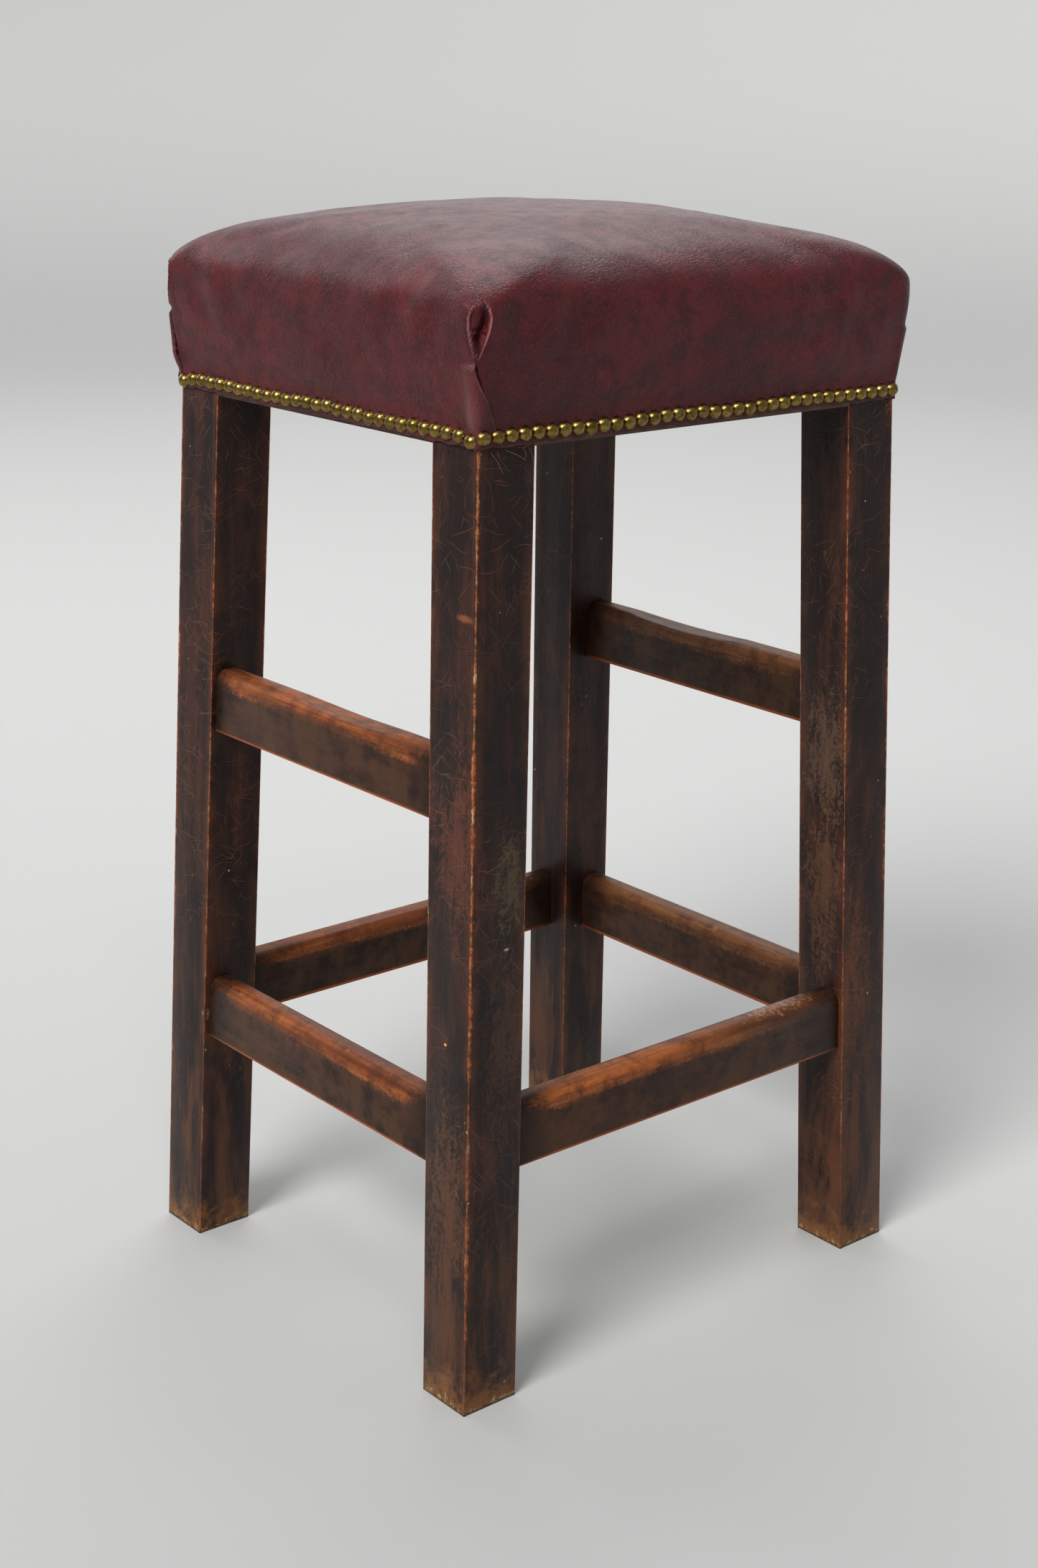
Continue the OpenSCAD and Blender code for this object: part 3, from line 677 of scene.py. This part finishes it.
def dished(points):
    """The dimple in the seat's top, and its slow waves."""
    dimple = np.exp(-(((points[..., 0] + 30) / 34) ** 2 + ((points[..., 1] + 105) / 26) ** 2))
    # creases bowed round the front left corner, on the top only
    away = np.hypot(points[..., 0] + WIDEST_X - 8, points[..., 1] + WIDEST_Y - 8)
    bow = np.sin(2 * math.pi * away / 12 + 1.6 * ripple(points, 60, 77)) * np.exp(-((away - 85) / 36) ** 2)
    bow *= smooth((points[..., 2] - WIDEST_Z - 6) / 12) * smooth(ripple(points, 45, 78) + 0.5)
    return 0.5 * ripple(points, 75, 5) + 0.14 * ripple(points, 26, 9) - 2.0 * dimple + 0.2 * bow


def grid_faces(rows, count, offset=0, flip=False):
    faces = []
    for j in range(rows - 1):
        a = offset + j * count
        for i in range(count):
            k = (i + 1) % count
            face = (a + i, a + k, a + count + k, a + count + i)
            faces.append(face[::-1] if flip else face)
    return faces


def ball_faces(rows, count):
    """Faces of a stack of rings that ends in a point below and a point above."""
    faces = grid_faces(rows, count)
    for i in range(count):
        k = (i + 1) % count
        faces.append((k, i, rows * count))
        faces.append(((rows - 1) * count + i, (rows - 1) * count + k, rows * count + 1))
    return faces


def closed_layer(outer, inner):
    """Faces and points of a shell between two stacks of rings, both closed at the summit."""
    rows, count = outer.shape[:2]
    inner_rows = inner.shape[0]
    points = np.concatenate([outer.reshape(-1, 3), inner.reshape(-1, 3),
                             [outer[-1].mean(0)], [inner[-1].mean(0)]])
    base = rows * count
    faces = grid_faces(rows, count) + grid_faces(inner_rows, count, base, flip=True)
    top, inner_top = len(points) - 2, len(points) - 1
    for i in range(count):
        k = (i + 1) % count
        faces.append(((rows - 1) * count + i, (rows - 1) * count + k, top))
        last = base + (inner_rows - 1) * count
        faces.append((last + k, last + i, inner_top))
        faces.append((base + i, base + k, k, i))
    return points, faces


COARSE = Grid(2.5, 6.0)     # for the inner layers and the simulation
DOMES_COARSE = np.cos(np.linspace(0, math.pi / 2, 40)[:-1])
FINE = Grid(0.5, 4.0, near=13, far=40)
LEVELS = np.concatenate([np.linspace(COVER_Z, BAND_Z, 7)[:-1], np.linspace(BAND_Z, WIDEST_Z, 74)[:-1]])
DOMES = np.cos(np.linspace(0, math.pi / 2, 58)[:-1])
INNER_STEP = 6       # the leather's inner side has one ring for this many on its outer side


SIM_FRAMES = 20
SIM_PRESSURE = 4.0
SIM_CAP = 2.5        # the farthest that the simulation may move the cover, in millimetres
SIM_REACH = 26.0     # the radius over which its overall ballooning is averaged
SIM_SHARE = 0.6      # how much of the simulated relief the cover shows


def simulate_cover():
    """Blows the cover up a little with Blender's cloth, its hem held, and returns a function
    that gives the simulated move of any points, in millimetres."""
    rings = seat_surface(COARSE, np.linspace(COVER_Z, WIDEST_Z, 22)[:-1], DOMES_COARSE, 1.5)[0]
    rows, count = rings.shape[:2]
    points = np.concatenate([rings.reshape(-1, 3), [rings[0].mean(0)], [rings[-1].mean(0)]])
    mesh = bpy.data.meshes.new("cover_sim")
    mesh.from_pydata((points * MM).tolist(), [], ball_faces(rows, count))
    body = new_object("cover_sim", mesh)
    remesh = body.modifiers.new("remesh", "REMESH")
    remesh.mode = "VOXEL"
    remesh.voxel_size = 5 * MM
    shell = bpy.data.meshes.new_from_object(body.evaluated_get(bpy.context.evaluated_depsgraph_get()))
    body.modifiers.clear()
    body.data = shell
    rest = np.array([v.co for v in shell.vertices]) / MM
    held = body.vertex_groups.new(name="held")
    held.add([int(i) for i in np.flatnonzero(rest[:, 2] < BAND_Z + 2)], 1.0, "REPLACE")
    cloth = body.modifiers.new("cloth", "CLOTH")
    cloth.settings.vertex_group_mass = "held"
    cloth.settings.quality = 6
    cloth.settings.use_pressure = True
    cloth.settings.uniform_pressure_force = SIM_PRESSURE
    cloth.settings.effector_weights.gravity = 0.0
    cloth.point_cache.frame_start, cloth.point_cache.frame_end = 1, SIM_FRAMES
    for number in range(1, SIM_FRAMES + 1):
        bpy.context.scene.frame_set(number)
    blown = body.evaluated_get(bpy.context.evaluated_depsgraph_get()).to_mesh()
    move = np.array([v.co for v in blown.vertices]) / MM - rest
    bpy.context.scene.frame_set(1)
    bpy.data.objects.remove(body)
    tree = KDTree(len(rest))
    for i, point in enumerate(rest):
        tree.insert(point, i)
    tree.balance()
    # the cloth's folds and hollows are kept, and its overall ballooning is taken off again
    broad = np.array([move[[k for _, k, _ in tree.find_range(point, SIM_REACH)]].mean(0) for point in rest])
    move -= broad
    size = np.linalg.norm(move, axis=1)
    move *= np.minimum(1, SIM_CAP / np.maximum(size, 1e-9))[:, None]

    def move_at(where):
        found = np.zeros_like(where)
        for i, point in enumerate(where):
            near = tree.find_n(point, 6)
            weight = np.array([1 / (distance + 0.5) ** 2 for _, _, distance in near])
            found[i] = weight @ move[[k for _, k, _ in near]] / weight.sum()
        return found
    return move_at


class Fields:
    """The moves that every layer of the seat shares, worked out on the cover's own surface."""

    def __init__(self, grid, levels, domes):
        self.base, signed = seat_surface(grid, levels, domes)
        self.around, self.outward = surface_frame(self.base)
        self.height, self.shift, self.rim, self.pit, self.sunk = pleats(self.base, signed, grid.corner())
        free = smooth((self.base[..., 2] - BAND_Z) / 12)
        self.waves = dished(self.base) * free
        self.drift = np.zeros_like(self.base)
        if RELIEF:
            share = SIM_SHARE * free * mix(1.0, 0.5, smooth((self.base[..., 2] - WIDEST_Z) / 12))
            self.drift = RELIEF(self.base.reshape(-1, 3)).reshape(self.base.shape) * share[..., None]
        self.drift[..., 2] += seat_tilt(self.base)

    def layer(self, points, depth):
        """A layer's points, moved as the cover moves, and brought in by a depth."""
        return points + self.outward * (self.waves - depth)[..., None] + self.drift


HEM_LIFT = 1.2       # the hide is cut this far above its CAD edge, on the average


def make_leather():
    f = Fields(FINE, LEVELS, DOMES)
    outer = f.layer(f.base, -f.height) + f.around * f.shift[..., None]
    # the hem is cut a little unevenly
    hem = 1 - smooth((f.base[..., 2] - COVER_Z) / 5)
    outer[..., 2] += hem * (HEM_LIFT + 0.5 * ripple(f.base * [1, 1, 0], 9, 21))
    inner = f.layer(f.base, LEATHER_T + f.sunk)[::INNER_STEP]
    inner[0, :, 2] = outer[0, :, 2]
    points, faces = closed_layer(outer, inner)
    piece = add_piece("leather_seat_cover", points, faces, leather_material())
    blank = np.zeros(inner.shape[0] * inner.shape[1] + 2)
    # rim holds the folds' painted highlights, pit their painted shade
    add_attribute(piece, "rim", np.concatenate([f.rim.ravel(), blank]))
    add_attribute(piece, "pit", np.concatenate([f.pit.ravel(), blank]))
    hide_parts("leather_cover")


PAD_Z = box_mm("stuffing_pad")[0][2]
WADDING_Z = box_mm("wadding")[0][2]
WADDING_T = 4.0
GAP = 0.1


def make_wadding():
    """Cotton wadding: over the pad, and down the outside of the frame to a thin edge."""
    outer_depth = LEATHER_T + 2.5 * GAP
    inner_depth = LEATHER_T + WADDING_T + GAP
    levels = np.linspace(WADDING_Z, WIDEST_Z, 22)[:-1]
    f = Fields(COARSE, levels, DOMES_COARSE)
    outer = f.layer(seat_surface(COARSE, levels, DOMES_COARSE, outer_depth)[0], f.sunk)
    rings = []
    for z in np.linspace(WADDING_Z, PAD_Z, 12):
        xy = COARSE.ring(half_x(z) + 2 * GAP, half_y(z) + 2 * GAP, 0.3)[0]
        rings.append(np.column_stack([xy, np.full(COARSE.count, z)]))
    over_pad = np.concatenate([[PAD_Z + GAP], levels[levels > PAD_Z]])
    g = Fields(COARSE, over_pad, DOMES_COARSE)
    deep = g.layer(seat_surface(COARSE, over_pad, DOMES_COARSE, inner_depth)[0], 0.6 * g.sunk)
    inner = np.concatenate([np.array(rings), deep])
    fluff = smooth((outer[..., 2] - WADDING_Z) / 10)
    outer -= f.outward * (0.25 * fluff * (1 + ripple(outer, 7, 31)) / 2)[..., None]
    points, faces = closed_layer(outer, inner)
    piece = add_piece("cotton_wadding", points, faces, fibre_material(
        "cotton_wadding", (226, 218, 200), (190, 178, 156), 160))
    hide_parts("wadding")


def make_stuffing():
    """Fibre pad: flat on the hessian, lumpy above."""
    depth = LEATHER_T + WADDING_T + 4 * GAP
    levels = np.linspace(PAD_Z + 1.5, WIDEST_Z, 8)[:-1]
    f = Fields(COARSE, levels, DOMES_COARSE)
    skin = f.layer(seat_surface(COARSE, levels, DOMES_COARSE, depth)[0], 0.6 * f.sunk)
    lumps = 0.8 * (1 + ripple(skin, 16, 41)) / 2 + 0.4 * (1 + ripple(skin, 6, 43)) / 2
    skin -= f.outward * lumps[..., None]
    shrink = np.array([0.35, 0.7, 0.93, 0.985])
    floor = [np.column_stack([skin[0, :, :2] * k, np.full(COARSE.count, PAD_Z)]) for k in shrink]
    rings = np.concatenate([np.array(floor), skin])
    points = np.concatenate([rings.reshape(-1, 3), [[0, 0, PAD_Z]], [rings[-1].mean(0)]])
    piece = add_piece("fibre_stuffing", points, ball_faces(*rings.shape[:2]), fibre_material(
        "fibre_stuffing", (150, 108, 66), (74, 50, 30), 240))
    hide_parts("stuffing_pad")


# ---- webbing and hessian ----

STRAP_W = 48.0
STRAP_T = 1.6
STRAP_FOLD = 20.0
STRAP_RAMP = 2.0     # how far past a crossing a strap starts to change level
LONG_PITCH, CROSS_PITCH = 92.0, 80.0


def ribbon(path, width, thick, edge_wave):
    """A flat strap swept along a path of (u, z) points; returns (u, v, z) points and faces."""
    path = np.array(path, float)
    step = unit(np.gradient(path, axis=0))
    normal = np.column_stack([-step[:, 1], step[:, 0]])
    across = np.linspace(-0.5, 0.5, 15)
    belly = np.sqrt(np.clip(1 - (2 * across) ** 12, 0.15, 1))
    section = [*zip(across, belly), *zip(across[::-1], -belly[::-1])]
    points = []
    for k, (place, up) in enumerate(zip(path, normal)):
        wide = width * (1 + edge_wave * math.sin(k * 0.9) * math.sin(k * 0.37))
        for a, h in section:
            u, z = place + up * (h * thick / 2)
            points.append((u, a * wide, z))
    n = len(section)
    faces = grid_faces(len(path), n)
    faces.append(tuple(range(n))[::-1])
    faces.append(tuple(range((len(path) - 1) * n, len(path) * n)))
    return np.array(points), faces


def make_strap(node, runs_along, index, material):
    """One strap: tacked down with doubled ends, over one neighbour and under the next."""
    half = box_mm(node)[1][runs_along]
    pitch = CROSS_PITCH if runs_along else LONG_PITCH
    own = LONG_PITCH if runs_along else CROSS_PITCH
    thick = STRAP_T - 2 * GAP
    places, levels = [-half], [0.0]
    for crossed in (-1, 0, 1):
        above = (index + crossed + (0 if runs_along else 1)) % 2
        for side in (-1, 1):
            places.append(crossed * pitch + side * (STRAP_W / 2 + STRAP_RAMP))
            levels.append(above * (STRAP_T + GAP))
    places.append(half)
    levels.append(0.0)
    middle = STRAP_T / 2
    main = [(u, FRAME_TOP + middle + np.interp(u, places, levels))
            for u in np.linspace(1 - half, half - 1, 150)]
    fold = np.linspace(STRAP_FOLD, 1, 12)
    turn = [(0.5, 1.75), (0.12, 1.4), (0.0, 1.0), (0.12, 0.6), (0.5, 0.25)]
    left = [(u - half, FRAME_TOP + 3 * middle) for u in fold]
    left += [(u - half + 0.7, FRAME_TOP + z * STRAP_T) for u, z in turn]
    right = [(-u, z) for u, z in left][::-1]
    points, faces = ribbon(left + main + right, STRAP_W - 0.6, thick, 0.004)
    u, v, z = points.T
    v = v + index * own
    z = z + 0.05 * ripple(points, 12, 61 + index)
    place = np.column_stack([v, u, z] if runs_along else [u, v, z])
    if runs_along:
        faces = [f[::-1] for f in faces]
    name = node.replace("strap", "webbing")
    piece = add_piece(name, place, faces, material)
    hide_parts(node)


def make_webbing():
    for runs_along, pitch, places in ((1, LONG_PITCH, ("long_left", "long_middle", "long_right")),
                                      (0, CROSS_PITCH, ("cross_front", "cross_middle", "cross_rear"))):
        material = weave_material("jute_webbing_" + "xy"[runs_along], (168, 132, 84), (96, 70, 42), 0.0019,
                                  not runs_along, (17.0 * MM, (120, 52, 34)), pitch * MM)
        for index, place in enumerate(places, -1):
            make_strap("strap_" + place, runs_along, index, material)


def make_hessian():
    """Loose-woven sheet tacked over the straps; it sinks a little between them."""
    lo, hi = box_mm("hessian")
    size = hi - lo
    xs, ys = np.linspace(lo[0] + 0.3, hi[0] - 0.3, 97), np.linspace(lo[1] + 0.3, hi[1] - 0.3, 85)
    x, y = np.meshgrid(xs, ys)
    between = [smooth((abs((v + pitch / 2) % pitch - pitch / 2) - STRAP_W / 2) / 12)
               for v, pitch in ((x, LONG_PITCH), (y, CROSS_PITCH))]
    inside = smooth((half_x(FRAME_TOP) - 30 - abs(x)) / 10) * smooth((half_y(FRAME_TOP) - 30 - abs(y)) / 10)
    flat = np.dstack([x, y, np.zeros_like(x)])
    sag = 0.9 * between[0] * between[1] * inside + 0.12 * (1 + ripple(flat, 18, 71))
    upper = hi[2] - 0.05 - sag
    lower = upper - size[2] + 0.15
    rows, count = x.shape
    # each row goes out along the underside and back along the top
    low, high = (np.dstack([x, y, z]) for z in (lower, upper))
    points = np.concatenate([low, high[:, ::-1]], axis=1).reshape(-1, 3)
    faces = grid_faces(rows, 2 * count, flip=True)
    last = (rows - 1) * 2 * count
    for i in range(count - 1):
        back = 2 * count - 1 - i
        faces.append((i, i + 1, back - 1, back))
        faces.append((last + i + 1, last + i, last + back, last + back - 1))
    piece = add_piece("hessian_sheet", points, faces, weave_material(
        "hessian_cloth", (176, 146, 100), (92, 70, 44), 0.0013, True))
    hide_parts("hessian")


def make_hem_fibres():
    """Frayed threads of the seat's lining that hang out under the hem."""
    rng = np.random.default_rng(17)
    points, faces = [], []
    spots = [(-FRAME_X + 8 + 4.5 * i, -FRAME_Y - 0.6, (0.9, -0.35)) for i in range(7)]
    spots += [(FRAME_X - 3, -FRAME_Y - 0.6, (1.0, -0.3))] * 5
    for x, y, (toward, away) in spots:
        length = rng.uniform(7, 17)
        start = np.array([x, y, HEM_Z + rng.uniform(-0.5, 1.5)])
        heading = unit(np.array([toward * rng.uniform(-0.6, 1.2), away * rng.uniform(0.1, 0.8),
                                 rng.uniform(-0.8, 0.1)]))
        bend = rng.normal(0, 0.10, 3)
        base = len(points)
        place, steps, sides = start.copy(), 12, 5
        for k in range(steps):
            side = unit(np.cross(heading, [0, 0.3, 1.0]))
            up = np.cross(side, heading)
            radius = 0.17 * (1 - 0.6 * k / steps)
            for i in range(sides):
                a = 2 * math.pi * i / sides
                points.append(place + radius * (side * math.cos(a) + up * math.sin(a)))
            heading = unit(heading + bend + rng.normal(0, 0.05, 3))
            place = place + heading * length / steps
        faces += grid_faces(steps, sides, base)
        faces.append(tuple(range(base, base + sides))[::-1])
        faces.append(tuple(range(base + (steps - 1) * sides, base + steps * sides)))
    thread = fibre_material("frayed_thread", (170, 130, 84), (110, 78, 46), 900)
    add_piece("hem_fibres", points, faces, thread)


# ---- CAD nodes: smoother edges and better materials ----

def smooth_group():
    """Geometry nodes that shade faces smooth across edges of less than 35 degrees."""
    group = bpy.data.node_groups.new("smooth_by_angle", "GeometryNodeTree")
    for way in ("INPUT", "OUTPUT"):
        group.interface.new_socket("Geometry", in_out=way, socket_type="NodeSocketGeometry")
    kinds = ("NodeGroupInput", "GeometryNodeSetShadeSmooth", "GeometryNodeSetShadeSmooth", "NodeGroupOutput",
             "GeometryNodeInputMeshEdgeAngle", "FunctionNodeCompare")
    start, faces, edges, end, angle, small = [group.nodes.new(kind) for kind in kinds]
    edges.domain = "EDGE"
    small.operation = "LESS_THAN"
    small.inputs[1].default_value = math.radians(35)
    for source, target in ((start.outputs[0], faces.inputs["Geometry"]),
                           (faces.outputs[0], edges.inputs["Geometry"]),
                           (angle.outputs["Unsigned Angle"], small.inputs[0]),
                           (small.outputs[0], edges.inputs["Shade Smooth"]),
                           (edges.outputs[0], end.inputs[0])):
        group.links.new(source, target)
    return group


SMOOTH = smooth_group()


def dress(node, material, bevel=None):
    """Gives a CAD node its finish, and rounds its edges with modifiers."""
    piece = NODES[node]
    piece.data.materials.clear()
    piece.data.materials.append(material)
    piece.modifiers.new("weld", "WELD").merge_threshold = 0.00002
    if bevel:
        edge = piece.modifiers.new("bevel", "BEVEL")
        edge.width = bevel
        edge.segments = 3
        edge.limit_method = "ANGLE"
        edge.angle_limit = math.radians(30)
        edge.use_clamp_overlap = True
    piece.modifiers.new("smooth", "NODES").node_group = SMOOTH


def dress_frame():
    leg = leg_material()
    for name, nodes, axis in (("low_rail_wood_x", ("footrest_rail_front", "low_rail_rear"), 0),
                              ("low_rail_wood_y", ("low_rail_left", "low_rail_right"), 1),
                              ("high_rail_wood_y", ("high_rail_left", "high_rail_right"), 1)):
        top = box_mm(nodes[0])[1][2]
        material = rail_material(name, axis, (top - RAIL_DROP, top))
        for node in nodes:
            dress(node, material, 0.0008)
    bare_x = bare_wood_material("bare_wood_x", 0)
    bare_y = bare_wood_material("bare_wood_y", 1)
    brass = brass_material()
    tack = steel_material("tack_steel", (70, 68, 66))
    for end in ("front_left", "front_right", "rear_left", "rear_right"):
        dress("leg_" + end, leg, 0.0012)
        dress("corner_block_" + end, bare_x, 0.0008)
    for side, material in (("front", bare_x), ("rear", bare_x), ("left", bare_y), ("right", bare_y)):
        dress("seat_rail_" + side, material, 0.0006)
        dress("nails_" + side, brass)
    dress("corner_block_screws", steel_material("screw_steel", (120, 118, 112)))
    dress("webbing_tacks", tack)
    dress("hessian_tacks", tack)


# ---- stage ----

def make_floor():
    """Flat pale floor that turns up far away into a rim all round."""
    s = Shader("floor")
    # the rim glows a little where the key light leaves it in shade
    x, _, z = s.split(s.place)
    glow = s.times(s.step(z, 0.0, 0.8, 0.0, 0.14), s.step(x, -2.0, 5.0, 1.0, 0.0))
    s.feed(s.bsdf, Emission_Strength=glow, Emission_Color=(1, 1, 1, 1))
    s.colour = (0.46, 0.46, 0.45, 1)
    material = s.finish(0.85, Specular_IOR_Level=0.2)
    rings, segments = [3.0, 6.0, 7.0, 7.8, 8.4, 8.8, 9.0, 9.0], 96
    heights = [0, 0, 0.08, 0.3, 0.7, 1.3, 2.1, 3.4]
    points = [(0, 0, 0)]
    for radius, height in zip(rings, heights):
        for i in range(segments):
            a = 2 * math.pi * i / segments
            points.append((radius * math.cos(a), radius * math.sin(a), height))
    faces = [(0, 1 + i, 1 + (i + 1) % segments) for i in range(segments)]
    faces += grid_faces(len(rings), segments, 1, flip=True)
    mesh = bpy.data.meshes.new("floor")
    mesh.from_pydata(points, [], faces)
    mesh.polygons.foreach_set("use_smooth", [True] * len(faces))
    floor = new_object("floor", mesh)
    floor.data.materials.append(material)


def aim(light, place, target):
    light.location = place
    light.rotation_mode = "QUATERNION"
    light.rotation_quaternion = (Vector(target) - Vector(place)).to_track_quat("-Z", "Y")


def area_light(name, place, target, size, power):
    data = bpy.data.lights.new(name, "AREA")
    data.shape = "DISK"
    data.size = size
    data.energy = power
    aim(new_object(name, data), place, target)


def make_light():
    key = bpy.data.lights.new("key", "SUN")
    key.energy = 3.3
    key.angle = math.radians(28)
    aim(new_object("key", key), (-2.0, -0.55, 2.1), (0, 0, 0.3))
    area_light("lamp", (-0.9, -1.4, 2.6), (0, 0, 0.6), 0.3, 6)
    area_light("window", (2.4, 2.6, 1.9), (0, 0, 0.6), 2.6, 9)
    area_light("back", (-0.5, 3.3, 2.1), (0, 0, 0.6), 2.4, 26)
    area_light("ceiling", (1.0, 1.2, 2.7), (0, 0, 0.6), 2.2, 32)
    world = bpy.data.worlds.new("pale")
    bpy.context.scene.world = world
    world.use_nodes = True
    background = world.node_tree.nodes["Background"]
    background.inputs["Color"].default_value = (0.93, 0.96, 1.0, 1)
    background.inputs["Strength"].default_value = 0.38


def make_camera():
    data = bpy.data.cameras.new("camera")
    data.sensor_fit = "VERTICAL"
    data.sensor_height = 36
    data.sensor_width = 24
    data.lens = 54.37
    camera = new_object("camera", data)
    right = Vector((0.76602, -0.64266, 0.01436))
    up = Vector((0.18409, 0.24072, 0.95298))
    forward = Vector((0.61589, 0.72736, -0.30270))
    turn = Matrix((right, up, -forward)).transposed().to_4x4()
    turn.translation = (-0.97017, -1.13462, 0.79686)
    camera.matrix_world = turn
    bpy.context.scene.camera = camera


RELIEF = simulate_cover()
make_camera()
make_floor()
make_light()
bpy.context.scene.view_settings.view_transform = "Standard"
dress_frame()
make_leather()
make_wadding()
make_stuffing()
make_webbing()
make_hessian()
make_hem_fibres()
